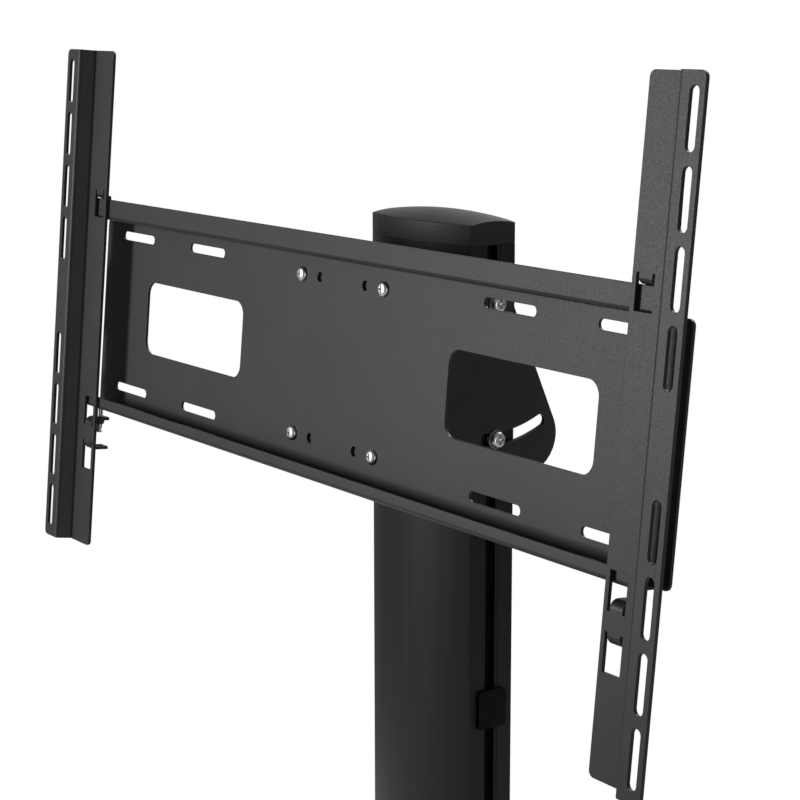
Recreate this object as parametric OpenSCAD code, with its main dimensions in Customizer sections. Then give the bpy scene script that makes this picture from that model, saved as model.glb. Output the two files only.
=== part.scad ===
// Floor stand for a large flat screen: steel base plate, slotted aluminium column,
// height carriage, tilting bracket with a wide tray, and two hook-on screen arms.
// X runs across the screen, -Y is the viewing side, Z is up, the origin is on the floor.

/* [Base] */
// Width of the steel base plate
base_w = 700; // [560:10:900]
// Depth of the steel base plate, front to back
base_d = 500; // [420:10:650]
// Thickness of the base plate
base_t = 8; // [6:1:10]
// Corner radius of the base plate
base_r = 40; // [15:5:80]
// Thickness of the steel flange under the column
flange_t = 8; // [6:1:12]
// Flange reach beyond each slotted side of the column
flange_side = 46; // [36:1:60]
// Flange reach beyond the front and back of the column
flange_front = 28; // [16:1:40]

/* [Levelling feet] */
// Diameter of a foot pad
pad_d = 50; // [40:1:70]
// Height of a foot pad
pad_h = 10; // [8:0.5:14]
// Distance from the base edges to a foot's axis
foot_inset = 48; // [40:1:70]
// How far a foot can be screwed down
foot_travel = 12; // [10:1:15]

/* [Column] */
// Width of the column across its two slotted sides
column_w = 138; // [126:1:150]
// Depth of each flat slotted side
side_d = 45; // [42:0.5:56]
// How far the front and back faces bow out past the flat sides
column_bow = 14; // [9:0.5:20]
// Length of the column extrusion
column_h = 1400; // [1000:10:1700]
// Wall of the extrusion
column_wall = 3; // [2:0.25:4]
// Width of the slot mouth
mouth_w = 10; // [9:0.25:12]
// Width of the slot cavity behind the mouth
cavity_w = 20; // [18:0.5:24]
// Depth of the slot cavity
cavity_d = 9; // [8:0.5:11]
// Thickness of the slot lips
slot_lip = 3; // [2.5:0.25:4]
// Height of the end cap at its corners
cap_rim = 17; // [12:0.5:25]
// Rise of the cap's crown across its width
cap_crown_x = 4.8; // [3:0.2:10]
// Rise of the cap's crown across its flat sides
cap_crown_y = 2.5; // [1.5:0.1:4]

/* [Height and tilt] */
// Distance from the column's top to the tilt pivot
pivot_drop = 47; // [36:1:170]
// Distance between the pivot bolts and the lock bolts
bolt_gap = 112; // [95:1:125]
// Tilt in this position, face up from vertical
tilt = 5.2; // [0:0.2:25]
// Largest tilt that the curved slots allow
tilt_max = 30; // [26:1:32]
// Thickness of the tilt bracket's sheet
bracket_t = 4; // [3:0.5:5]
// Distance from the pivot forward to the arms' front face
reach = 139; // [125:1:170]

/* [Tray] */
// Width of the tray's plate
tray_w = 808; // [700:2:900]
// Thickness of the tray's sheet
tray_t = 2.5; // [2:0.1:3.2]
// Distance from the lips' front face to the plate's front face
tray_d = 20.4; // [18:0.2:26]
// Height of the pivot above the underside of the lower flange
tray_low = 153.6; // [148:0.2:165]
// Height of the tray from the lower flange to the upper lip's edge
tray_h = 200.4; // [196:0.2:215]
// Height of the upper lip
upper_lip = 19.5; // [16:0.5:24]
// Height of the lower lip
lower_lip = 11.5; // [8:0.5:15]
// Width of a cable window
window_w = 170; // [120:1:180]
// Height of a cable window
window_h = 67; // [50:0.2:72]
// Corner radius of a cable window
window_r = 12; // [5:0.5:18]
// Length of a tray slot
tray_slot_l = 60; // [40:1:62]
// Width of a tray slot
tray_slot_w = 8; // [7:0.5:12]

/* [Screen arms] */
// Length of an arm
arm_l = 472; // [450:1:560]
// Thickness of the arms' sheet
arm_t = 3; // [2:0.1:3.4]
// How far a screw slot row lies outside the tray's end
arm_overhang = 20; // [14:0.2:26]
// Spacing of the screw slots
slot_pitch = 50; // [48:1:52]
// Length of a screw slot
slot_l = 41.5; // [34:0.5:45]
// Width of a screw slot
slot_w = 8.4; // [7:0.2:10]
// Gap between the two slots next to the middle
slot_gap = 70; // [60:1:76]
// Depth from the front flange's face to the rear flange's face
arm_d = 13.7; // [11:0.1:17]
// Width of the slotted front flange
front_flange = 24.4; // [22:0.2:30]
// Inward lean of the wall between the flanges
wall_lean = 5; // [2:0.25:8]
// Width of the rear flange
rear_flange = 36.7; // [32:0.2:44]

/* [Cable clips] */
// Distance from the column's top to the middle of a cable clip
clip_drop = 391; // [340:1:700]
// Height of a cable clip
clip_h = 33; // [24:1:45]
// Width of a cable clip
clip_w = 29; // [24:1:34]

/* [Hidden] */

// Overrun of every cut, and fineness of round shapes
cut = 1;
round_fn = 96;
bend_steps = 8;
bend_step = 2;

// Clearances
slide_gap = 0.3;
thread_gap = 0.05;
hole_gap = 0.4;
wing_gap = 0.5;
washer_gap = 0.1;

// Fasteners
m6_r = 3;
m8_r = 4;
m10_r = 5;
m8_head_r = 7;
m8_head_h = 4.8;
m8_hex = 5.8;
m8_washer_r = 8;
m8_washer_t = 1.6;
m6_head_r = 6.2;
m6_head_h = 3.4;
m6_nut_r = 6.2;
m6_nut_h = 5.4;
cross_l = 6.4;
cross_w = 1.3;
cross_depth = 2;
socket_depth = 2.6;
csk_head_r = 7.8;
column_screw_l = 34;
head_rim_share = 0.2;
head_spread = 60;
pan_rim_share = 0.25;
pan_spread = 70;
screw_tail = 2;

// Base levels
stud_seat = 4;
stud_grip = 4;
stud_sunk = 2;
boss_h = foot_travel + stud_grip + stud_sunk - base_t;
boss_r = 13;
collar_h = 1.7;
collar_r = 9;
base_z = pad_h + collar_h + slide_gap + boss_h;
flange_z = base_z + base_t;
column_z = flange_z + flange_t;
column_top = column_z + column_h;
pad_edge = 2.5;
base_edge = 1.5;
stud_top = base_z + base_t - stud_sunk;
flange_w = column_w + 2 * flange_side;
flange_d = side_d + 2 * column_bow + 2 * flange_front;
flange_r = 14;
flange_screw_inset = 24;
flange_screw_sunk = 1;
flange_screw_x = column_w / 2 + flange_side / 2;
flange_screw_y = flange_d / 2 - flange_screw_inset;

// Column section: flat sides, front and back bowed to one radius
bow_r = (pow(column_w / 2, 2) + pow(column_bow, 2)) / (2 * column_bow);
bow_centre = bow_r - side_d / 2 - column_bow;
port_share = 0.58;
port_x = port_share * column_w / 2;
port_r = m8_r + thread_gap;
port_wall = 2.4;
port_y = sqrt(pow(bow_r, 2) - pow(port_x, 2)) - bow_centre - column_wall - port_r - port_wall / 2;
web_t = 2.4;
mouth_step = 2.5;
mouth_recess_w = mouth_w + 2 * mouth_step;
mouth_recess_d = 1;
housing_wall = 2;

// End cap
cap_top = cap_rim + cap_crown_x + cap_crown_y;
crown_rx = pow(column_w / 2, 2) / (2 * cap_crown_x) + cap_crown_x / 2;
crown_ry = pow(side_d / 2, 2) / (2 * cap_crown_y) + cap_crown_y / 2;
plug_w = 2 * (port_x - port_r - port_wall - 2 * slide_gap);
plug_d = side_d - 2 * column_wall;
plug_h = 12;

// Carriage: nuts and bolts in the two side slots
pivot_z = column_top - pivot_drop;
lock_z = pivot_z - bolt_gap;
nut_w = cavity_w - 2 * slide_gap;
nut_neck_w = mouth_w - 2 * slide_gap;
nut_room = 3;
nut_t = cavity_d - nut_room;
nut_l = 30;
nut_x = column_w / 2 - slot_lip - slide_gap;
wing_in = column_w / 2 + wing_gap;
wing_out = wing_in + bracket_t;
washer_x = wing_out + washer_gap;
head_x = washer_x + m8_washer_t;
bolt_tail = 1.5;
bolt_end_x = nut_x - nut_t - bolt_tail;

// Bends of the sheet parts
bend_in = 1.6;
bend_out = bend_in + tray_t;
arm_bend_in = 1.6;
arm_bend_out = arm_bend_in + arm_t;
tab_bend_in = 3.5;
tab_bend_out = tab_bend_in + arm_t;
bracket_bend_in = 3;
bracket_bend_out = bracket_bend_in + bracket_t;

// Depths in the tilting head, measured from the pivot, forward is negative
arm_front = -reach;
arm_rear = arm_front + arm_d;
lip_front = arm_rear + arm_t + slide_gap;
plate_front = lip_front + tray_d;
plate_back = plate_front + tray_t;
bracket_back = plate_back + bracket_t;

// Heights in the tilting head, measured from the pivot
tray_bottom = -tray_low;
tray_lip_top = tray_bottom + tray_h;
shelf_under = tray_lip_top - upper_lip;
lower_lip_top = tray_bottom + lower_lip;
arm_rise = 2.4;
arms_mid = tray_bottom + tray_h / 2 + arm_rise;

// Tray pattern, measured in from the tray's ends, and the screws beside the bracket's wings
end_tab = 10;
end_r = 5;
row_drop = 13.9;
row_rise = 19.9;
upper_row = shelf_under - row_drop;
lower_row = tray_bottom + tray_t + row_rise;
row_mid = (upper_row + lower_row) / 2;
window_inset = 170.3;
inner_slot_inset = 158.7;
outer_slot_inset = 31.4;
window_x = tray_w / 2 - window_inset;
slot_xs = [for (inset = [inner_slot_inset, outer_slot_inset]) tray_w / 2 - inset - tray_slot_l / 2];
screw_inset = 11;
screw_x = wing_in - screw_inset;
screw_row_drop = 4.4;
screw_row_rise = 6.4;
screw_rows = [upper_row - screw_row_drop, lower_row + screw_row_rise];
pilot_inset = 26.1;
pilot_x = screw_x - pilot_inset;
pilot_r = 4;

// Tilt bracket's wing
wing_margin = 17;
wing_top = screw_rows[0] + wing_margin;
wing_bottom = screw_rows[1] - wing_margin;
wing_shoulder = 22;
wing_blend = 20;
wing_round = 15.6;
wing_lean = 29;
wing_heel_r = 31;
wing_reach = 90;
arc_gap = 1;
arc_r = m8_r + arc_gap;

// Arms: punched windows and tabs in the rear flange
arm_edge = 9.4;
arm_x = tray_w / 2 + arm_overhang;
arm_out = arm_x + arm_edge;
arm_bend = arm_out - front_flange;
arm_bend_rear = arm_bend - wall_lean;
arm_in = arm_bend_rear - rear_flange;
arm_corner = 5;
tab_inset = 13;
tab_x = arm_in + tab_inset;
tab_w = 13;
tab_slit = 2.2;
tab_window_w = tab_w + 2 * tab_slit;
hook_under = tray_lip_top + slide_gap;
hook_drop = 7;
hook_end = lip_front + tray_t + hole_gap + arm_t;
hook_slit = 7.5;
hook_window = 17.7;
hook_corner = 2;
tab_reach = 33;
tab_end = arm_front + tab_reach;
screw_reach = 26;
screw_y = arm_front + screw_reach;
upper_tab_drop = 9.1;
tab_spacing = 31.2;
upper_tab = tray_bottom - upper_tab_drop;
lower_tab = upper_tab - tab_spacing;
tab_relief = 8.5;
upper_window_rise = 10.4;
lower_window_drop = 19.4;
upper_window = tray_bottom + upper_window_rise;
lower_window = lower_tab - lower_window_drop;
access_r = 4.6;
slots_each_way = 4;
collar_drop = 4;
collar_top_r = 5.2;
collar_low_r = 4;
lock_screw_top = tray_bottom - slide_gap;
lock_screw_l = 24;
lock_hex = 3;

// Cable clip
clip_t = 3.5;
clip_r = 3;
clip_z = column_top - clip_drop;
clip_foot_t = 3;
clip_foot_h = 2 * clip_h / 3;
tie_w = 6;
tie_h = 2;

module across_x(len) {
  rotate([90, 0, 90]) linear_extrude(height = len, center = true) children();
}

module across_y(from, to) {
  translate([0, to, 0]) rotate([90, 0, 0]) linear_extrude(height = to - from) children();
}

module round_rect(w, h, r) {
  square([w - 2 * r, h], center = true);
  square([w, h - 2 * r], center = true);
  for (x = [-1, 1], y = [-1, 1]) translate([x * (w / 2 - r), y * (h / 2 - r)]) circle(r, $fn = round_fn);
}

module slot_shape(l, w) {
  square([l - w, w], center = true);
  for (x = [-1, 1]) translate([x * (l - w) / 2, 0]) circle(w / 2, $fn = round_fn);
}

function unit(v) = v / norm(v);

// Arc that rounds corner b between a and c
function corner_arc(a, b, c, r) =
  let (u = unit(a - b), v = unit(c - b), half = acos(u * v) / 2)
  let (centre = b + unit(u + v) * r / sin(half), p = b + u * r / tan(half), q = b + v * r / tan(half))
  let (n = max(bend_steps, ceil(r / bend_step)))
  [for (i = [0 : n]) centre + r * unit(p * (1 - i / n) + q * i / n - centre)];

// Outline from corners [x, y, radius]
function rounded(pts) = [
  for (i = [0 : len(pts) - 1])
    let (n = len(pts), b = pts[i], a = pts[(i + n - 1) % n], c = pts[(i + 1) % n])
    each b[2] == 0 ? [[b[0], b[1]]] : corner_arc([a[0], a[1]], [b[0], b[1]], [c[0], c[1]], b[2])
];

// A place on the tilting head: the pivot is its origin
module on_head() {
  translate([0, 0, pivot_z]) rotate([-tilt, 0, 0]) children();
}

module both_sides() {
  children();
  mirror([1, 0, 0]) children();
}

module base_plate() color("#1d1d1f") {
  difference() {
    union() {
      translate([0, 0, base_z]) linear_extrude(height = base_t - base_edge)
        round_rect(base_w, base_d, base_r);
      translate([0, 0, base_z + base_t - base_edge]) linear_extrude(height = base_edge)
        round_rect(base_w - 2 * base_edge, base_d - 2 * base_edge, base_r - base_edge);
      at_feet() translate([0, 0, base_z - boss_h]) cylinder(r = boss_r, h = boss_h + cut, $fn = round_fn);
    }
    at_feet() translate([0, 0, base_z - boss_h - cut])
      cylinder(r = m10_r + thread_gap, h = stud_top + slide_gap - base_z + boss_h + cut, $fn = round_fn);
    at_flange_screws() translate([0, 0, base_z - cut])
      cylinder(r = m8_r + thread_gap, h = base_t + 2 * cut, $fn = round_fn);
  }
}

module at_feet() {
  for (x = [-1, 1], y = [-1, 1]) at_foot(x, y) children();
}

module at_foot(x, y) {
  translate([x * (base_w / 2 - foot_inset), y * (base_d / 2 - foot_inset), 0]) children();
}

module at_flange_screws() {
  for (x = [-1, 1], y = [-1, 1]) translate([x * flange_screw_x, y * flange_screw_y, 0]) children();
}

module at_ports() {
  for (x = [-1, 1], y = [-1, 1]) translate([x * port_x, y * port_y, 0]) children();
}

module foot_pad(x, y) color("#161617") at_foot(x, y) difference() {
  rotate_extrude($fn = round_fn) polygon([
    [0, 0], [pad_d / 2 - pad_edge / 2, 0], [pad_d / 2, pad_edge], [pad_d / 2, pad_h - 2 * pad_edge],
    [pad_d / 2 - 2 * pad_edge, pad_h], [0, pad_h]
  ]);
  translate([0, 0, pad_h - stud_seat])
    cylinder(r = m10_r + thread_gap, h = stud_seat + cut, $fn = round_fn);
}

module foot_stud(x, y) color("#b9bcc0") at_foot(x, y) {
  translate([0, 0, pad_h - stud_seat])
    cylinder(r = m10_r, h = stud_top - pad_h + stud_seat, $fn = round_fn);
  translate([0, 0, pad_h]) cylinder(r = collar_r, h = collar_h, $fn = 6);
}

module column_flange() color("#1f1f21") difference() {
  translate([0, 0, flange_z]) linear_extrude(height = flange_t) round_rect(flange_w, flange_d, flange_r);
  at_flange_screws() translate([0, 0, flange_z - cut])
    cylinder(r = m8_r + hole_gap, h = flange_t + 2 * cut, $fn = round_fn);
  at_ports() translate([0, 0, flange_z - cut])
    cylinder(r = m8_r + hole_gap, h = flange_t + 2 * cut, $fn = round_fn);
  at_ports() translate([0, 0, flange_z - cut]) rotate_extrude($fn = round_fn) polygon([
    [0, 0], [csk_head_r + hole_gap + cut, 0], [m8_r + hole_gap, csk_head_r + cut - m8_r],
    [0, csk_head_r + cut - m8_r]
  ]);
}

// Half section of a domed screw head: a low rim, then a crown that ends spread degrees round
function dome(r, h, rim_share, spread) = concat([[0, 0], [r, 0]],
  [for (i = [0 : bend_steps])
    [r * cos(i * spread / bend_steps), h * (rim_share + (1 - rim_share) * sin(i * 90 / bend_steps))]],
  [[0, h]]);

// M8 screw head with a hex socket, standing on z = 0
module socket_head() {
  difference() {
    rotate_extrude($fn = round_fn) polygon(dome(m8_head_r, m8_head_h, head_rim_share, head_spread));
    translate([0, 0, m8_head_h - socket_depth]) cylinder(r = m8_hex / 2, h = socket_depth + cut, $fn = 6);
  }
}

module flange_screws() color("#c4c6c9") at_flange_screws() {
  translate([0, 0, column_z]) socket_head();
  translate([0, 0, base_z + flange_screw_sunk])
    cylinder(r = m8_r, h = column_z - base_z - flange_screw_sunk, $fn = round_fn);
}

module column_screws() color("#c4c6c9") at_ports() difference() {
  translate([0, 0, flange_z]) union() {
    rotate_extrude($fn = round_fn)
      polygon([[0, 0], [csk_head_r, 0], [m8_r, csk_head_r - m8_r], [0, csk_head_r - m8_r]]);
    cylinder(r = m8_r, h = column_screw_l, $fn = round_fn);
  }
  translate([0, 0, flange_z - cut]) cylinder(r = m8_hex / 2, h = socket_depth + cut, $fn = 6);
}

// Plan of the column: flat sides, bowed front and back, drawn in by inset
module bowed_plan(inset) {
  intersection() {
    square([column_w - 2 * inset, side_d + 2 * column_bow], center = true);
    translate([0, bow_centre]) circle(bow_r - inset, $fn = 4 * round_fn);
    translate([0, -bow_centre]) circle(bow_r - inset, $fn = 4 * round_fn);
  }
}

module slot_plan() {
  translate([column_w / 2 - slot_lip - cut, -mouth_w / 2]) square([slot_lip + 2 * cut, mouth_w]);
  translate([column_w / 2 - mouth_recess_d, -mouth_recess_w / 2])
    square([mouth_recess_d + cut, mouth_recess_w]);
  translate([column_w / 2 - slot_lip - cavity_d, -cavity_w / 2]) square([cavity_d, cavity_w]);
}

module housing_plan() {
  translate([column_w / 2 - slot_lip - cavity_d - housing_wall, -cavity_w / 2 - housing_wall])
    square([slot_lip + cavity_d + housing_wall, cavity_w + 2 * housing_wall]);
}

module column_plan() {
  difference() {
    bowed_plan(0);
    difference() {
      bowed_plan(column_wall);
      both_sides() housing_plan();
      for (x = [-1, 1]) translate([x * port_x - web_t / 2, -side_d / 2 - column_bow])
        square([web_t, side_d + 2 * column_bow]);
      at_ports() circle(port_r + port_wall, $fn = round_fn);
    }
    both_sides() slot_plan();
    at_ports() circle(port_r, $fn = round_fn);
  }
}

module column() color("#1b1b1d") translate([0, 0, column_z])
  linear_extrude(height = column_h) column_plan();

module column_cap() color("#232325") translate([0, 0, column_top]) {
  intersection() {
    linear_extrude(height = cap_top) bowed_plan(0);
    translate([0, 0, cap_top - crown_rx]) rotate([90, 0, 0]) rotate_extrude($fn = 4 * round_fn)
      intersection() {
        translate([crown_rx - crown_ry, 0]) circle(crown_ry, $fn = 4 * round_fn);
        translate([0, -crown_ry]) square([crown_rx, 2 * crown_ry]);
      }
  }
  translate([0, 0, -plug_h]) linear_extrude(height = plug_h + cut) square([plug_w, plug_d], center = true);
}

// Block from depth to depth along X, w wide and h high, centred on the slot
module slot_block(from, to, w, h) {
  translate([from, -w / 2, -h / 2]) cube([to - from, w, h]);
}

// Plate outside the slot, neck and foot inside it, and two passages for cable ties
module cable_clip() color("#0e0e10") translate([0, 0, clip_z]) {
  difference() {
    translate([column_w / 2, 0, 0]) rotate([90, 0, 90]) linear_extrude(height = clip_t)
      round_rect(clip_w, clip_h, clip_r);
    for (z = [-1, 1]) translate([column_w / 2 + clip_t / 2, 0, z * clip_h / 4])
      slot_block(-tie_h / 2, tie_h / 2, clip_w + 2 * cut, tie_w);
  }
  slot_block(nut_x, column_w / 2 + cut, nut_neck_w, clip_foot_h);
  slot_block(nut_x - clip_foot_t, nut_x, nut_w, clip_foot_h);
}

// Pair of slot nuts at height z: a broad foot in the cavity and a neck in the mouth
module slot_nuts(z) color("#8f9296") both_sides() translate([0, 0, z]) difference() {
  union() {
    slot_block(nut_x - nut_t, nut_x, nut_w, nut_l);
    slot_block(nut_x - cut, nut_x + slot_lip - mouth_recess_d, nut_neck_w, nut_l);
  }
  translate([nut_x - nut_t - cut, 0, 0]) rotate([0, 90, 0])
    cylinder(r = m8_r + thread_gap, h = nut_t + slot_lip + 2 * cut, $fn = round_fn);
}

// Pair of bolts at height z, through the wings into the slot nuts
module wing_bolts(z) color("#d2d4d6") both_sides() translate([0, 0, z]) {
  translate([bolt_end_x, 0, 0]) rotate([0, 90, 0])
    cylinder(r = m8_r, h = head_x - bolt_end_x, $fn = round_fn);
  translate([head_x, 0, 0]) rotate([0, 90, 0]) socket_head();
}

module wing_washers(z) color("#b9bcc0") both_sides() translate([washer_x, 0, z]) rotate([0, 90, 0])
  difference() {
    cylinder(r = m8_washer_r, h = m8_washer_t, $fn = round_fn);
    translate([0, 0, -cut]) cylinder(r = m8_r + thread_gap, h = m8_washer_t + 2 * cut, $fn = round_fn);
  }

// Side view of the bracket: round at the pivot, rear edge leaning out to the curved slot
module wing_outline() {
  lean_y = wing_round / cos(wing_lean);
  polygon(rounded([
    [plate_back, wing_top, 0],
    [plate_back + bracket_bend_out + wing_shoulder, wing_top, wing_blend],
    [-wing_round, wing_round, wing_blend],
    [lean_y - wing_round * tan(wing_lean), wing_round, wing_round],
    [lean_y - wing_bottom * tan(wing_lean), wing_bottom, wing_heel_r],
    [plate_back, wing_bottom, 0]
  ]));
}

// Plan of the bracket: a front plate bent back into two wings
module bracket_plan() {
  polygon(rounded([
    [-wing_out, plate_back, bracket_bend_out], [wing_out, plate_back, bracket_bend_out],
    [wing_out, wing_reach + cut, 0], [wing_in, wing_reach + cut, 0],
    [wing_in, bracket_back, bracket_bend_in], [-wing_in, bracket_back, bracket_bend_in],
    [-wing_in, wing_reach + cut, 0], [-wing_out, wing_reach + cut, 0]
  ]));
}

// Curved slot centred on the pivot, from level to the largest tilt
module arc_slot() {
  difference() {
    circle(bolt_gap + arc_r, $fn = 2 * round_fn);
    circle(bolt_gap - arc_r, $fn = 2 * round_fn);
    polygon(2 * bolt_gap * [[0, 0], [0, -1], [-1, -1], [-1, 1], [1, 1], [sin(tilt_max), -cos(tilt_max)]]);
  }
  for (a = [0, tilt_max]) translate([bolt_gap * sin(a), -bolt_gap * cos(a)]) circle(arc_r, $fn = round_fn);
}

module at_tray_screws() {
  for (x = [-1, 1], z = screw_rows) translate([x * screw_x, 0, z]) children();
}

// Round hole along Y between two depths
module hole_y(r, from, to) {
  translate([0, to, 0]) rotate([90, 0, 0]) cylinder(r = r, h = to - from, $fn = round_fn);
}

module tilt_bracket() color("#1e1e20") on_head() difference() {
  intersection() {
    translate([0, 0, wing_bottom - cut]) linear_extrude(height = wing_top - wing_bottom + 2 * cut)
      bracket_plan();
    across_x(2 * wing_out + cut) wing_outline();
  }
  rotate([0, 90, 0]) cylinder(r = m8_r + thread_gap, h = 3 * wing_out, center = true, $fn = round_fn);
  across_x(3 * wing_out) arc_slot();
  at_tray_screws() hole_y(m6_r + hole_gap, plate_back - cut, bracket_back + cut);
}

module tray_section() {
  polygon(rounded([
    [lip_front, tray_lip_top, 0],
    [lip_front + tray_t, tray_lip_top, 0],
    [lip_front + tray_t, shelf_under + tray_t, bend_in],
    [plate_back, shelf_under + tray_t, bend_out],
    [plate_back, tray_bottom, bend_out],
    [lip_front, tray_bottom, bend_out],
    [lip_front, lower_lip_top, 0],
    [lip_front + tray_t, lower_lip_top, 0],
    [lip_front + tray_t, tray_bottom + tray_t, bend_in],
    [plate_front, tray_bottom + tray_t, bend_in],
    [plate_front, shelf_under, bend_in],
    [lip_front, shelf_under, bend_out]
  ]));
}

module tray() color("#2b2b2e") on_head() {
  plate_h = shelf_under - tray_bottom;
  difference() {
    union() {
      across_x(tray_w - 2 * end_tab) tray_section();
      difference() {
        translate([0, 0, tray_bottom + plate_h / 2]) across_y(plate_front, plate_back)
          round_rect(tray_w, plate_h, end_r);
        cube([tray_w - 2 * end_tab - cut, 4 * reach, 4 * tray_h], center = true);
      }
    }
    for (x = [-1, 1]) translate([x * window_x, 0, row_mid]) across_y(plate_front - cut, plate_back + cut)
      round_rect(window_w, window_h, window_r);
    for (side = [-1, 1], x = slot_xs, z = [upper_row, lower_row]) translate([side * x, 0, z])
      across_y(plate_front - cut, plate_back + cut) slot_shape(tray_slot_l, tray_slot_w);
    at_tray_screws() hole_y(m6_r + hole_gap, plate_front - cut, plate_back + cut);
    for (x = [-1, 1], z = screw_rows) translate([x * pilot_x, 0, z])
      hole_y(pilot_r, plate_front - cut, plate_back + cut);
  }
}

module tray_screws() color("#d8dadc") on_head() at_tray_screws() {
  translate([0, plate_front, 0]) rotate([90, 0, 0]) difference() {
    rotate_extrude($fn = round_fn) polygon(dome(m6_head_r, m6_head_h, pan_rim_share, pan_spread));
    for (a = [0, 90]) rotate([0, 0, a]) translate([-cross_l / 2, -cross_w / 2, m6_head_h - cross_depth])
      cube([cross_l, cross_w, cross_depth + cut]);
  }
  hole_y(m6_r, plate_front, bracket_back + m6_nut_h + screw_tail);
}

module tray_nuts() color("#b9bcc0") on_head() at_tray_screws() difference() {
  translate([0, bracket_back + m6_nut_h, 0]) rotate([90, 0, 0])
    cylinder(r = m6_nut_r, h = m6_nut_h, $fn = 6);
  hole_y(m6_r + thread_gap, bracket_back - cut, bracket_back + m6_nut_h + cut);
}

// Plan of the right arm: slotted front flange, leaning wall, rear flange
module arm_plan() {
  wall = norm([wall_lean, arm_d]);
  shift_x = arm_t * arm_d / wall;
  shift_y = arm_t * wall_lean / wall;
  back_x = arm_bend + shift_x - wall_lean * (arm_t - shift_y) / arm_d;
  polygon(rounded([
    [arm_out, arm_front, 0],
    [arm_bend, arm_front, arm_bend_out],
    [arm_bend_rear, arm_rear, arm_bend_in],
    [arm_in, arm_rear, 0],
    [arm_in, arm_rear + arm_t, 0],
    [back_x - wall_lean, arm_rear + arm_t, arm_bend_out],
    [back_x, arm_front + arm_t, arm_bend_in],
    [arm_out, arm_front + arm_t, 0]
  ]));
}

module arm_screw_slots() {
  for (side = [-1, 1], i = [0 : slots_each_way - 1])
    translate([arm_x, 0, arms_mid + side * (slot_gap / 2 + slot_l / 2 + i * slot_pitch)])
      across_y(arm_front - cut, arm_front + arm_t + cut) rotate([0, 0, 90]) slot_shape(slot_l, slot_w);
}

module tab_window(low, high) {
  translate([tab_x - tab_window_w / 2, arm_rear - cut, low])
    cube([tab_window_w, arm_t + 2 * cut, high - low]);
}

// Hook bent back from the flange and down behind the tray's upper lip
module hook_tab() {
  polygon(rounded([
    [arm_rear, hook_under + hook_slit + cut, 0],
    [arm_rear, hook_under, arm_bend_out],
    [hook_end - arm_t, hook_under, 0],
    [hook_end - arm_t, hook_under - hook_drop, 0],
    [hook_end, hook_under - hook_drop, 0],
    [hook_end, hook_under + arm_t, hook_corner],
    [arm_rear + arm_t, hook_under + arm_t, arm_bend_in],
    [arm_rear + arm_t, hook_under + hook_slit + cut, 0]
  ]));
}

// Piece left standing between the lower windows, its ends bent back as two tabs
module clamp_tabs() {
  polygon(rounded([
    [arm_rear, upper_tab, tab_bend_out],
    [tab_end, upper_tab, 0],
    [tab_end, upper_tab - arm_t, 0],
    [arm_rear + arm_t, upper_tab - arm_t, tab_bend_in],
    [arm_rear + arm_t, lower_tab + arm_t, tab_bend_in],
    [tab_end, lower_tab + arm_t, 0],
    [tab_end, lower_tab, 0],
    [arm_rear, lower_tab, tab_bend_out]
  ]));
}

module screw_line(r, from, to) {
  translate([tab_x, screw_y, from]) cylinder(r = r, h = to - from, $fn = round_fn);
}

module arm() color("#303033") on_head() difference() {
  union() {
    difference() {
      intersection() {
        translate([0, 0, arms_mid]) linear_extrude(height = arm_l, center = true) arm_plan();
        translate([(arm_in + arm_out) / 2, 0, arms_mid]) across_y(arm_front - cut, arm_rear + arm_t + cut)
          round_rect(arm_out - arm_in, arm_l, arm_corner);
      }
      arm_screw_slots();
      tab_window(hook_under - hook_window, hook_under + hook_slit);
      tab_window(upper_tab - tab_relief, upper_window);
      tab_window(lower_window, lower_tab + tab_relief);
    }
    translate([tab_x, 0, 0]) across_x(tab_w) hook_tab();
    translate([tab_x, 0, 0]) across_x(tab_w) clamp_tabs();
    translate([tab_x, screw_y, upper_tab - arm_t - collar_drop])
      cylinder(r1 = collar_low_r, r2 = collar_top_r, h = collar_drop + cut, $fn = round_fn);
  }
  screw_line(m6_r + thread_gap, upper_tab - arm_t - collar_drop - cut, upper_tab + cut);
  screw_line(access_r, lower_tab - cut, lower_tab + arm_t + cut);
}

module lock_screw() color("#c4c6c9") on_head() difference() {
  screw_line(m6_r, lock_screw_top - lock_screw_l, lock_screw_top);
  translate([tab_x, screw_y, lock_screw_top - lock_screw_l - cut])
    cylinder(r = lock_hex / 2, h = socket_depth + cut, $fn = 6);
}

base_plate();
column_flange();
flange_screws();
column_screws();
foot_stud(-1, -1);  // foot_stud_front_left
foot_stud(1, -1);  // foot_stud_front_right
foot_stud(-1, 1);  // foot_stud_back_left
foot_stud(1, 1);  // foot_stud_back_right
foot_pad(-1, -1);  // foot_pad_front_left
foot_pad(1, -1);  // foot_pad_front_right
foot_pad(-1, 1);  // foot_pad_back_left
foot_pad(1, 1);  // foot_pad_back_right
column();
column_cap();
mirror([1, 0, 0]) cable_clip();  // cable_clip_left
cable_clip();  // cable_clip_right
slot_nuts(pivot_z);  // pivot_nuts
slot_nuts(lock_z);  // lock_nuts
wing_bolts(pivot_z);  // pivot_bolts
wing_bolts(lock_z);  // lock_bolts
wing_washers(pivot_z);  // pivot_washers
wing_washers(lock_z);  // lock_washers
tilt_bracket();
tray();
tray_screws();
tray_nuts();
mirror([1, 0, 0]) arm();  // arm_left
arm();  // arm_right
mirror([1, 0, 0]) lock_screw();  // lock_screw_left
lock_screw();  // lock_screw_right
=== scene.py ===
import math

import bmesh
import bpy
from mathutils import Matrix, Vector


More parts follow.
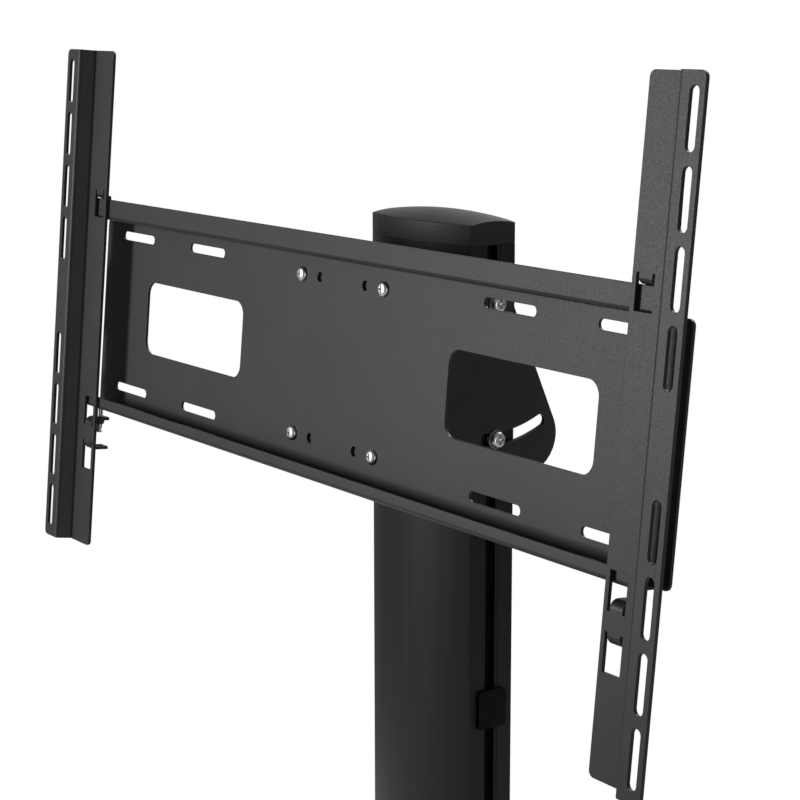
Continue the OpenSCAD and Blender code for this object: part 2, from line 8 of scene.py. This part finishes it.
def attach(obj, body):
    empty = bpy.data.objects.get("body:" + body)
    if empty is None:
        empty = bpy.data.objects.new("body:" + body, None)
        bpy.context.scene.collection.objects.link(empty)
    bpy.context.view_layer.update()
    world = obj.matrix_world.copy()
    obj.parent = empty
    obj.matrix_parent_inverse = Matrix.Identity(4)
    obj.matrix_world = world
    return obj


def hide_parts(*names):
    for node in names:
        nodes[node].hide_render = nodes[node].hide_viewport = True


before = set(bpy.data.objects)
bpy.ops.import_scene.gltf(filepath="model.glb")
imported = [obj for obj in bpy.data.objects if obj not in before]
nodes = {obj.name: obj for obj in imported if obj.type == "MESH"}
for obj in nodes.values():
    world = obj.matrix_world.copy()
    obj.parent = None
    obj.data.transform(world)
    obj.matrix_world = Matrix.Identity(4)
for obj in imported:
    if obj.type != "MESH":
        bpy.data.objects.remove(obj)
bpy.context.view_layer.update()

# The view. The stand is seen from the right and a little above its tray, through a
# long lens on a 36 mm wide frame, close enough that the column is cut off below.
EYE = Vector((1.3423, -1.0039, 1.6245))
AZIMUTH = math.radians(54.41)
DOWN = math.radians(10.95)
ROLL = math.radians(-0.1)
LENS = 90.9
FRAME_WIDTH = 36
SIGHT_LIMIT = 100

camera = bpy.data.objects.new("camera", bpy.data.cameras.new("camera"))
bpy.context.scene.collection.objects.link(camera)
camera.location = EYE
heading = Matrix.Rotation(AZIMUTH, 3, "Z") @ Matrix.Rotation(math.radians(90) - DOWN, 3, "X")
camera.rotation_euler = (heading @ Matrix.Rotation(ROLL, 3, "Z")).to_euler()
camera.data.lens = LENS
camera.data.sensor_width = FRAME_WIDTH
camera.data.sensor_fit = "HORIZONTAL"
camera.data.clip_end = SIGHT_LIMIT
bpy.context.scene.camera = camera
bpy.context.scene.view_settings.view_transform = "Standard"


# The studio. A tall softbox stands to the left of the front, low enough to light the
# tray under its lip, a wide weak one to the right, and one high behind the stand. The
# room is dim, and a white backdrop shows only by eye and as a reflection.
def linear(colour):
    """An sRGB hex colour as linear red, green, blue and alpha."""
    parts = [int(colour[i:i + 2], 16) / 255 for i in (1, 3, 5)]
    return [p / 12.92 if p <= 0.04045 else ((p + 0.055) / 1.055) ** 2.4 for p in parts] + [1]


def add(tree, kind, settings=(), links=()):
    """Adds a node, sets its inputs or properties by name, and links outputs to its inputs."""
    node = tree.nodes.new(kind)
    for name, value in dict(settings).items():
        if isinstance(name, int) or name in node.inputs:
            node.inputs[name].default_value = value
        else:
            setattr(node, name, value)
    for name, output in dict(links).items():
        tree.links.new(output, node.inputs[name])
    return node


def seen_white(tree, mirrored):
    """How white the surroundings look: fully white by eye and through glass, and in a
    reflection as white as mirrored says."""
    path = add(tree, "ShaderNodeLightPath")
    direct = add(tree, "ShaderNodeMath", {"operation": "MAXIMUM"},
                 {0: path.outputs["Is Camera Ray"], 1: path.outputs["Is Transmission Ray"]})
    glossy = add(tree, "ShaderNodeMath", {"operation": "MULTIPLY"},
                 {0: path.outputs["Is Glossy Ray"], 1: mirrored})
    return add(tree, "ShaderNodeMath", {"operation": "MAXIMUM"},
               {0: direct.outputs[0], 1: glossy.outputs[0]}).outputs[0]


def softbox(name, left, up, size, power):
    """A lamp aimed at the tray, left and up in degrees from straight in front of it."""
    lamp = bpy.data.objects.new(name, bpy.data.lights.new(name, "AREA"))
    bpy.context.scene.collection.objects.link(lamp)
    left, up = math.radians(left), math.radians(up)
    toward = Vector((-math.sin(left) * math.cos(up), -math.cos(left) * math.cos(up), math.sin(up)))
    lamp.location = LIT + SOFTBOX_DISTANCE * toward
    lamp.rotation_euler = (LIT - lamp.location).to_track_quat("-Z", "Y").to_euler()
    lamp.data.shape = "RECTANGLE"
    lamp.data.size, lamp.data.size_y = size
    lamp.data.energy = power


LIT = Vector((0, -0.1, 1.35))
SOFTBOX_DISTANCE = 3.6
softbox("key softbox", left=36, up=5, size=(0.75, 1.5), power=74)
softbox("side softbox", left=-80, up=-4, size=(2.2, 2.2), power=24)
softbox("back softbox", left=165, up=48, size=(1.6, 1.6), power=90)

ROOM_LIGHT = 0.2
BACKDROP_EDGE, BACKDROP_FULL = 0.86, 0.95

world = bpy.data.worlds.new("studio")
bpy.context.scene.world = world
world.use_nodes = True
tree = world.node_tree
tree.nodes.clear()
direction = add(tree, "ShaderNodeTexCoord")
behind = (-math.sin(AZIMUTH), math.cos(AZIMUTH), 0)
facing = add(tree, "ShaderNodeVectorMath", {"operation": "DOT_PRODUCT", 1: behind},
             {0: direction.outputs["Generated"]})
backdrop = add(tree, "ShaderNodeMapRange",
               {"From Min": BACKDROP_EDGE, "From Max": BACKDROP_FULL},
               {"Value": facing.outputs["Value"]})
white = {"Color": linear("#ffffff")}
room = add(tree, "ShaderNodeBackground", {**white, "Strength": ROOM_LIGHT})
bright = add(tree, "ShaderNodeBackground", {**white, "Strength": 1})
surroundings = add(tree, "ShaderNodeMixShader", links={
    0: seen_white(tree, backdrop.outputs[0]), 1: room.outputs[0], 2: bright.outputs[0]})
add(tree, "ShaderNodeOutputWorld", links={"Surface": surroundings.outputs[0]})


# The floor: a disc of white paper. By eye it glows to full white away from the stand, so
# that its edge can't be seen, and near the stand it keeps the shadow.
FLOOR_RADIUS, FLOOR_SIDES = 2.3, 96
GLOW_START, GLOW_END = 0.9, 2.2
NEAR_GLOW = 0.75

mesh = bpy.data.meshes.new("floor")
shape = bmesh.new()
bmesh.ops.create_circle(shape, cap_ends=True, segments=FLOOR_SIDES, radius=FLOOR_RADIUS)
shape.to_mesh(mesh)
shape.free()
floor = bpy.data.objects.new("floor", mesh)
bpy.context.scene.collection.objects.link(floor)

paper = bpy.data.materials.new("white paper floor")
paper.use_nodes = True
tree = paper.node_tree
tree.nodes.clear()
place = add(tree, "ShaderNodeTexCoord")
reach = add(tree, "ShaderNodeVectorMath", {"operation": "LENGTH"}, {0: place.outputs["Object"]})
span = {"From Min": GLOW_START, "From Max": GLOW_END}
glow = add(tree, "ShaderNodeMapRange", {**span, "To Min": NEAR_GLOW, "To Max": 1},
           {"Value": reach.outputs["Value"]})
mirrored = add(tree, "ShaderNodeMapRange", span, {"Value": reach.outputs["Value"]})
plain = add(tree, "ShaderNodeBsdfDiffuse", {"Color": linear("#8c8c8c")})
shine = add(tree, "ShaderNodeEmission", white, {"Strength": glow.outputs[0]})
lit = add(tree, "ShaderNodeAddShader", links={0: plain.outputs[0], 1: shine.outputs[0]})
seen = add(tree, "ShaderNodeMixShader", links={
    0: seen_white(tree, mirrored.outputs[0]), 1: plain.outputs[0], 2: lit.outputs[0]})
add(tree, "ShaderNodeOutputMaterial", links={"Surface": seen.outputs[0]})
mesh.materials.append(paper)


# The base: an 8 mm steel plate with rounded corners that carries the stand, and a smaller
# plate under the column, screwed down on it. Both are laser-cut and sprayed with black
# powder, which bakes to a fine sandy skin.
MM = 0.001
PATTERN_LOW, PATTERN_HIGH = 0.35, 0.65


def surface(name, shader, colours, drift, skin, roughness, bump):
    """A procedural material. Its colour wanders between two hex colours with the drift. Its
    roughness, from least to most, and its bump, strength and height in mm, follow the skin.
    Drift and skin are noise, each given as cell size in mm, detail, and stretch along Z."""
    material = bpy.data.materials.new(name)
    material.use_nodes = True
    tree = material.node_tree
    tree.nodes.clear()
    place = add(tree, "ShaderNodeTexCoord")
    noise = []
    for size, detail, stretch in (drift, skin):
        scaled = add(tree, "ShaderNodeVectorMath", {
            "operation": "MULTIPLY", 1: [1 / (size * MM * s) for s in (1, 1, stretch)]},
            {0: place.outputs["Object"]})
        noise.append(add(tree, "ShaderNodeTexNoise", {"Scale": 1, "Detail": detail},
                         {"Vector": scaled.outputs[0]}).outputs["Fac"])
    middle = {"From Min": PATTERN_LOW, "From Max": PATTERN_HIGH}
    share = add(tree, "ShaderNodeMapRange", middle, {"Value": noise[0]})
    dark, light = colours
    colour = add(tree, "ShaderNodeMix", {"data_type": "RGBA", 6: linear(dark), 7: linear(light)},
                 {0: share.outputs[0]})
    least, most = roughness
    matt = add(tree, "ShaderNodeMapRange", {**middle, "To Min": least, "To Max": most},
               {"Value": noise[1]})
    strength, height = bump
    relief = add(tree, "ShaderNodeBump", {"Strength": strength, "Distance": height * MM},
                 {"Height": noise[1]})
    body = add(tree, "ShaderNodeBsdfPrincipled", shader, {
        "Base Color": colour.outputs[2], "Roughness": matt.outputs[0],
        "Normal": relief.outputs[0]})
    add(tree, "ShaderNodeOutputMaterial", links={"Surface": body.outputs[0]})
    return material


def powder_coat(name, dark, light, roughness):
    """Black powder coat: matt, even, with a sandy skin that breaks up every reflection.
    The real grain is about 0.5 mm. It is drawn at 1.2 mm, because finer grain doesn't show."""
    return surface(name, {"IOR": 1.5, "Specular IOR Level": 0.3}, (dark, light),
                   drift=(45, 2, 1), skin=(1.2, 3, 1),
                   roughness=(roughness - 0.03, roughness + 0.05), bump=(0.2, 0.04))


def dress(material, *names):
    """Gives carried-over nodes a material."""
    for name in names:
        nodes[name].data.materials.clear()
        nodes[name].data.materials.append(material)


SEAM = 0.01
FLAT_ANGLE, EDGE_ANGLE = math.radians(0.4), math.radians(40)


def ease(width, *names):
    """Rounds the sharp edges of carried-over nodes, width in millimetres. The nodes' seams
    are joined and their flat triangles merged first, so that the rounding runs evenly, and
    the large faces then keep their own normals."""
    for name in names:
        weld = nodes[name].modifiers.new("joined seams", "WELD")
        weld.merge_threshold = SEAM * MM
        flat = nodes[name].modifiers.new("merged flats", "DECIMATE")
        flat.decimate_type = "DISSOLVE"
        flat.angle_limit = FLAT_ANGLE
        bevel = nodes[name].modifiers.new("eased edges", "BEVEL")
        bevel.width = width * MM
        bevel.segments = 2
        bevel.limit_method = "ANGLE"
        bevel.angle_limit = EDGE_ANGLE
        bevel.use_clamp_overlap = False
        even = nodes[name].modifiers.new("flat faces stay flat", "WEIGHTED_NORMAL")
        even.weight = 100


base_coat = powder_coat("powder-coated steel plate", "#242426", "#2a2a2c", 0.5)
dress(base_coat, "base_plate", "column_flange")
ease(0.5, "base_plate", "column_flange")


# The feet: four moulded rubber pads, ribbed for the fingers and grooved underneath, on
# zinc-plated M10 studs. The studs turn in the base plate to level the stand.
RING_POINTS = 48
THREAD_STEPS = 8
THREAD_DEPTH, THREAD_SLOPE, THREAD_CUT = 0.6, 1.3, 0.15
POINT_CHAMFER = 0.2
CREASE = math.radians(32)


def turned(radius, height, points=RING_POINTS, lobes=0, swell=0):
    """A closed ring of points in mm: round, or with lobes that swell in and out."""
    ring = []
    for i in range(points):
        angle = 2 * math.pi * i / points
        reach = radius - swell * (0.5 + 0.5 * math.cos(lobes * angle))
        ring.append((reach * math.cos(angle), reach * math.sin(angle), height))
    return ring


def six_sided(across, height, corner):
    """A hexagonal ring, across mm over its flats, its corners cut back to a circle."""
    ring = []
    for i in range(RING_POINTS):
        angle = 2 * math.pi * i / RING_POINTS
        flat = across / 2 / math.cos((angle + math.pi / 6) % (math.pi / 3) - math.pi / 6)
        reach = min(flat, corner)
        ring.append((reach * math.cos(angle), reach * math.sin(angle), height))
    return ring


def thread(size, low, high):
    """Rings of a threaded shank, chamfered at its low end. Size is its radius and pitch. The
    profile is a wave on a helix, cut off a little at its crests and roots."""
    radius, pitch = size
    core = radius - THREAD_DEPTH * pitch
    count = math.ceil((high - low) / pitch * THREAD_STEPS)
    rings = []
    for k in range(count + 1):
        height = low + (high - low) * k / count
        ring = []
        for i in range(RING_POINTS):
            angle = 2 * math.pi * i / RING_POINTS
            flank = abs(2 * ((height / pitch - i / RING_POINTS) % 1) - 1)
            crest = min(1, max(0, THREAD_SLOPE * flank - THREAD_CUT))
            reach = min(core + (radius - core) * crest, core - POINT_CHAMFER + height - low)
            ring.append((reach * math.cos(angle), reach * math.sin(angle), height))
        rings.append(ring)
    return rings


def lofted(rings, closed=False):
    """A mesh through closed rings of points. Its two ends are capped, or joined if closed."""
    shape = bmesh.new()
    rows = [[shape.verts.new(point) for point in ring] for ring in rings]
    for low, high in zip(rows, rows[1:] + rows[:1] if closed else rows[1:]):
        for i in range(len(low)):
            j = (i + 1) % len(low)
            shape.faces.new((low[i], low[j], high[j], high[i]))
    if not closed:
        shape.faces.new(rows[0][::-1])
        shape.faces.new(rows[-1])
    data = bpy.data.meshes.new("blank")
    shape.to_mesh(data)
    shape.free()
    return data


def aim(at, axis):
    """The place of a part that is drawn in mm along +Z, when it points along axis."""
    turn = Vector(axis).to_track_quat("Z", "Y").to_matrix().to_4x4()
    return Matrix.Translation(Vector(at) * MM) @ turn @ Matrix.Scale(MM, 4)


def fit(name, data, places, material, body):
    """Puts the mesh in every place as one piece, instead of the CAD node of that name."""
    shape = bmesh.new()
    for place in places:
        copy = data.copy()
        copy.transform(place)
        shape.from_mesh(copy)
        bpy.data.meshes.remove(copy)
    joined = bpy.data.meshes.new(name)
    shape.to_mesh(joined)
    shape.free()
    for face in joined.polygons:
        face.use_smooth = True
    joined.set_sharp_from_angle(angle=CREASE)
    joined.materials.append(material)
    piece = bpy.data.objects.new(name + "_detailed", joined)
    bpy.context.scene.collection.objects.link(piece)
    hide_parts(name)
    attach(piece, body)


def zinc(name, dark, light, roughness):
    """Zinc-plated steel: a metal with a faint milky cloud from the plating bath."""
    return surface(name, {"Metallic": 1}, (dark, light), drift=(3, 2, 1), skin=(0.4, 2, 1),
                   roughness=(roughness - 0.05, roughness + 0.08), bump=(0.15, 0.02))


# Moulded rubber is very dark, with a soft wide sheen and no sharp highlight.
pad_rubber = surface("moulded rubber", {"IOR": 1.52, "Specular IOR Level": 0.3},
                     ("#161617", "#1c1c1d"), drift=(12, 2, 1), skin=(0.8, 2, 1),
                     roughness=(0.62, 0.78), bump=(0.3, 0.05))
plain_zinc = zinc("zinc-plated steel, dull", "#85878b", "#9c9ea2", 0.38)
bright_zinc = zinc("zinc-plated steel, bright", "#c9cbce", "#dddfe1", 0.3)

FOOT_X, FOOT_Y = 302, 202
CORNERS = {"front_left": (-1, -1), "front_right": (1, -1),
           "back_left": (-1, 1), "back_right": (1, 1)}
PAD_RIM, PAD_HEIGHT = 25, 10
GROOVE, PAD_SEAT = 0.9, 9.9
STUD_HOLE = 5.05
RIBS, RIB_POINTS = 40, 240
STUD_LOW, STUD_TOP = 6, 28
COLLAR_HEIGHT, COLLAR_EDGE = 1.7, 0.4
COLLAR_FLATS, COLLAR_CORNER, COLLAR_FACE = 15.588, 8.8, 8.0
M10 = (5, 1.5)

# Radius, height and depth of the ribs, from the middle of the underside to the stud's hole.
pad_profile = [
    (3, GROOVE, 0), (7, GROOVE, 0), (7.6, 0, 0), (10.6, 0, 0), (11.2, GROOVE, 0),
    (14.2, GROOVE, 0), (14.8, 0, 0), (17.8, 0, 0), (18.4, GROOVE, 0), (21, GROOVE, 0),
    (21.6, 0, 0), (23.4, 0, 0), (24.4, 1, 0.3), (PAD_RIM, 2.5, 0.7), (PAD_RIM, 5, 0.7),
    (24.2, 6, 0.4), (21, 9, 0), (20.2, 9.7, 0), (19.4, PAD_HEIGHT, 0), (9.6, PAD_HEIGHT, 0),
    (9.4, PAD_SEAT, 0), (STUD_HOLE, PAD_SEAT, 0), (STUD_HOLE, STUD_LOW, 0)]
pad = lofted([turned(radius, height, RIB_POINTS, RIBS, depth)
              for radius, height, depth in pad_profile])
collar_top = PAD_HEIGHT + COLLAR_HEIGHT
collar = [six_sided(COLLAR_FLATS, -height, corner) for height, corner in (
    (collar_top, COLLAR_FACE), (collar_top - COLLAR_EDGE, COLLAR_CORNER),
    (PAD_HEIGHT + COLLAR_EDGE, COLLAR_CORNER), (PAD_HEIGHT, COLLAR_FACE))]
stud = lofted(thread(M10, -STUD_TOP, -collar_top) + collar
              + [turned(M10[0], -PAD_HEIGHT), turned(M10[0], -STUD_LOW)])
for corner, (right, back) in CORNERS.items():
    foot, body = (right * FOOT_X, back * FOOT_Y, 0), "foot_" + corner
    fit("foot_pad_" + corner, pad, [aim(foot, (0, 0, 1))], pad_rubber, body)
    fit("foot_stud_" + corner, stud, [aim(foot, (0, 0, -1))], plain_zinc, body)


# The flange screws: four M8 screws with domed heads and hex sockets, zinc-plated. They
# hold the flange to the base. Four countersunk ones below it hold the column.
def screw(size, length, head):
    """A screw drawn along +Z, its head from z = 0 up and its threaded shank below."""
    return lofted(thread(size, -length, 0) + head)


DOME_STEPS = 8
DOME_EDGE = 0.25


def dome(radius, height, rim, spread):
    """Rings of a domed head from z = 0. Rim is the share of its height below the crown, and
    spread is how far the crown closes in, in degrees."""
    rings = [turned(radius - DOME_EDGE, 0), turned(radius, DOME_EDGE)]
    for i in range(DOME_STEPS + 1):
        share = i / DOME_STEPS
        rings.append(turned(
            radius * math.cos(math.radians(spread) * share),
            height * (rim + (1 - rim) * math.sin(math.radians(90) * share))))
    return rings


def carve(data, tool):
    """The mesh with a tool's shape cut out of it."""
    blank = bpy.data.objects.new("blank", data)
    knife = bpy.data.objects.new("tool", tool)
    bpy.context.scene.collection.objects.link(blank)
    bpy.context.scene.collection.objects.link(knife)
    recess = blank.modifiers.new("recess", "BOOLEAN")
    recess.object = knife
    recess.operation = "DIFFERENCE"
    recess.solver = "EXACT"
    shaped = blank.evaluated_get(bpy.context.evaluated_depsgraph_get())
    made = bpy.data.meshes.new_from_object(shaped)
    bpy.data.objects.remove(blank)
    bpy.data.objects.remove(knife)
    return made


DRILL_RADIUS, DRILL_DEPTH, DRILL_SHARE = 0.3, 0.9, 0.8
MOUTH_WIDTH, MOUTH_DEPTH = 0.3, 0.35
FLARE_WIDTH, FLARE_HEIGHT = 1.5, 1.2


def hex_tool(across, bottom, top):
    """The shape of a hex socket with a drilled point below it and a chamfered mouth. Above
    the mouth the tool flares, so that it leaves nothing over the socket."""
    corner = across / math.sqrt(3)
    return lofted([turned(radius, height, points=6) for radius, height in (
        (DRILL_RADIUS, bottom - DRILL_DEPTH), (corner * DRILL_SHARE, bottom), (corner, bottom),
        (corner, top - MOUTH_DEPTH), (corner + MOUTH_WIDTH, top),
        (corner + FLARE_WIDTH, top + FLARE_HEIGHT))])


M8 = (4, 1.25)
HEAD_RADIUS, HEAD_HEIGHT, HEAD_RIM, HEAD_SPREAD = 7, 4.8, 0.2, 60
SOCKET_FLATS, SOCKET_DEPTH = 5.02, 2.6
FLANGE_SCREW_X, FLANGE_SCREW_Y, FLANGE_TOP = 92, 40.5, 38
FLANGE_SCREW_LENGTH = 15

head = dome(HEAD_RADIUS, HEAD_HEIGHT, HEAD_RIM, HEAD_SPREAD)
socket = hex_tool(SOCKET_FLATS, HEAD_HEIGHT - SOCKET_DEPTH, HEAD_HEIGHT)
flange_screw = carve(screw(M8, FLANGE_SCREW_LENGTH, head), socket)
fit("flange_screws", flange_screw,
    [aim((x * FLANGE_SCREW_X, y * FLANGE_SCREW_Y, FLANGE_TOP), (0, 0, 1))
     for x in (-1, 1) for y in (-1, 1)],
    bright_zinc, "stand")
dress(bright_zinc, "column_screws")


# The column: one aluminium extrusion, bowed front and back, with a slot down each flat
# side. It is anodised black, so it keeps the fine lines of the die along its length, and
# its highlight smears along them.

# The real lines are about 0.2 mm apart. They are drawn 0.9 mm apart so that they show.
die_lines = (0.9, 3, 400)
anodised = surface("black anodised aluminium", {"IOR": 1.6, "Specular IOR Level": 0.2},
                   ("#131315", "#18181a"), drift=die_lines, skin=die_lines,
                   roughness=(0.36, 0.46), bump=(0.25, 0.02))
dress(anodised, "column")
ease(0.4, "column")


# The end cap: moulded ABS with a crowned top, as wide and deep as the column. A plug
# under it is pushed into the column's hollow.
def moulded(name, dark, light, roughness, shine):
    """Moulded plastic from a spark-eroded tool: matt and finely pitted.
    The pits are about 0.3 mm. They are drawn at 0.9 mm so that they show."""
    return surface(name, {"IOR": 1.53, "Specular IOR Level": shine}, (dark, light),
                   drift=(20, 2, 1), skin=(0.9, 3, 1),
                   roughness=(roughness - 0.06, roughness + 0.08), bump=(0.3, 0.04))


dress(moulded("moulded ABS", "#222224", "#28282a", 0.5, 0.3), "column_cap")
ease(0.6, "column_cap")


# The cable clips: a moulded nylon block on each side of the column. Their feet slide in
# the column's slots, and two passages in each take the ties that hold a screen's leads.
nylon = moulded("moulded nylon", "#0d0d0e", "#131314", 0.55, 0.08)
dress(nylon, "cable_clip_left", "cable_clip_right")
ease(0.6, "cable_clip_left", "cable_clip_right")


# The carriage: nuts inside the slots, and the bolts and washers that clamp the bracket's
# wings against the column. The bolts are M8 with domed heads and cross recesses. All are
# of zinc-plated steel.
CROSS_FLOOR_SHARE, CROSS_KNEE_SHARE, CROSS_FLARE_SHARE = 0.36, 0.62, 1.3
KNEE_HEIGHT_SHARE = 0.25
CROSS_FLARE_HEIGHT = 1


def cross_tool(length, width, bottom, top):
    """The shape of a cross recess: four wings that taper to a knee and a narrow floor."""
    knee = bottom + KNEE_HEIGHT_SHARE * (top - bottom)
    rings = []
    for height, share in ((bottom, CROSS_FLOOR_SHARE), (knee, CROSS_KNEE_SHARE), (top, 1),
                          (top + CROSS_FLARE_HEIGHT, CROSS_FLARE_SHARE)):
        a, b = length / 2 * share, width / 2 * (0.5 + 0.5 * share)
        rings.append([(x, y, height) for x, y in (
            (a, b), (b, b), (b, a), (-b, a), (-b, b), (-a, b),
            (-a, -b), (-b, -b), (-b, -a), (b, -a), (b, -b), (a, -b))])
    return lofted(rings)


PIVOT_HEIGHT, LOCK_HEIGHT = 1391, 1279
BOLT_SEAT, BOLT_LENGTH = 75.2, 17
BOLT_CROSS = (8.6, 1.8)
WASHER_HOLE, WASHER_RIM, WASHER_THICKNESS, WASHER_EDGE = 4.05, 8, 1.6, 0.2

bolt = carve(screw(M8, BOLT_LENGTH, head),
             cross_tool(*BOLT_CROSS, HEAD_HEIGHT - SOCKET_DEPTH, HEAD_HEIGHT))
washer = lofted([turned(radius, height) for radius, height in (
    (WASHER_HOLE, 0), (WASHER_RIM - WASHER_EDGE, 0), (WASHER_RIM, WASHER_EDGE),
    (WASHER_RIM, WASHER_THICKNESS - WASHER_EDGE), (WASHER_RIM - WASHER_EDGE, WASHER_THICKNESS),
    (WASHER_HOLE, WASHER_THICKNESS))], closed=True)
for name, height in (("pivot", PIVOT_HEIGHT), ("lock", LOCK_HEIGHT)):
    fit(name + "_bolts", bolt,
        [aim((side * BOLT_SEAT, 0, height), (side, 0, 0)) for side in (-1, 1)],
        bright_zinc, "carriage")
    fit(name + "_washers", washer,
        [aim((side * (BOLT_SEAT - WASHER_THICKNESS), 0, height), (side, 0, 0))
         for side in (-1, 1)],
        plain_zinc, "carriage")
dress(plain_zinc, "pivot_nuts", "lock_nuts")


# The tilt bracket, the tray and the two arms: laser-cut steel sheet, bent in a press and
# powder-coated black. The bracket's wings clasp the column, the tray is screwed to the
# bracket, and the arms hook over the tray's upper lip.
sheet_coat = powder_coat("powder-coated steel sheet", "#28282a", "#2d2d2f", 0.45)
dress(sheet_coat, "tilt_bracket", "tray", "arm_left", "arm_right")
ease(0.4, "tilt_bracket", "tray", "arm_left", "arm_right")


# The tray screws: four M6 pan heads with a cross recess, through tray and bracket into hex
# nuts, all zinc-plated. The head of the stand is drawn upright from the pivot, then leans
# back by its tilt.
TILT = math.radians(5.2)
LEANT = Matrix.Translation((0, 0, PIVOT_HEIGHT * MM)) @ Matrix.Rotation(-TILT, 4, "X")
M6 = (3, 1)
TRAY_SCREW_X, TRAY_SCREW_ROWS = 58.5, (9.0, -124.8)
PLATE_FRONT, BRACKET_BACK = -101.6, -95.1
PAN_RADIUS, PAN_HEIGHT, PAN_RIM, PAN_SPREAD = 6.2, 3.4, 0.25, 70
PAN_CROSS, PAN_CROSS_DEPTH = (6.8, 1.5), 2
NUT_FLATS, NUT_CORNER, NUT_FACE = 10.74, 6.1, 5.3
NUT_HEIGHT, NUT_EDGE, NUT_HOLE = 5.4, 0.5, 3.05
NUT_MOUTH, NUT_MOUTH_DEPTH = 3.6, 0.6
SCREW_END = 2

tray_screw_length = BRACKET_BACK + NUT_HEIGHT + SCREW_END - PLATE_FRONT
tray_screw = carve(
    screw(M6, tray_screw_length, dome(PAN_RADIUS, PAN_HEIGHT, PAN_RIM, PAN_SPREAD)),
    cross_tool(*PAN_CROSS, PAN_HEIGHT - PAN_CROSS_DEPTH, PAN_HEIGHT))
tray_nut = lofted([
    turned(NUT_HOLE, 0), turned(NUT_FACE, 0),
    six_sided(NUT_FLATS, NUT_EDGE, NUT_CORNER),
    six_sided(NUT_FLATS, NUT_HEIGHT - NUT_EDGE, NUT_CORNER),
    turned(NUT_FACE, NUT_HEIGHT), turned(NUT_MOUTH, NUT_HEIGHT),
    turned(NUT_HOLE, NUT_HEIGHT - NUT_MOUTH_DEPTH)], closed=True)
spots = [(x, z) for x in (-TRAY_SCREW_X, TRAY_SCREW_X) for z in TRAY_SCREW_ROWS]
fit("tray_screws", tray_screw, [LEANT @ aim((x, PLATE_FRONT, z), (0, -1, 0)) for x, z in spots],
    bright_zinc, "head")
fit("tray_nuts", tray_nut, [LEANT @ aim((x, BRACKET_BACK, z), (0, 1, 0)) for x, z in spots],
    plain_zinc, "head")


# The lock screws: a zinc-plated M6 screw in each arm's lower tabs, turned from below with
# a hex key until it presses on the tray.
LOCK_X, LOCK_Y = 380.3, -113
LOCK_TOP, LOCK_LENGTH = -153.9, 24
LOCK_SOCKET_FLATS = 2.6
THREAD_END, LOCK_EDGE = 0.8, 0.3

lock_screw = carve(
    lofted(thread(M6, -LOCK_LENGTH, -THREAD_END)
           + [turned(M6[0] - LOCK_EDGE, -LOCK_EDGE), turned(M6[0] - 2 * LOCK_EDGE, 0)]),
    hex_tool(LOCK_SOCKET_FLATS, -SOCKET_DEPTH, 0))
for side, name in ((-1, "left"), (1, "right")):
    place = LEANT @ aim((side * LOCK_X, LOCK_Y, LOCK_TOP - LOCK_LENGTH), (0, 0, -1))
    fit("lock_screw_" + name, lock_screw, [place], bright_zinc, name + "_screw")
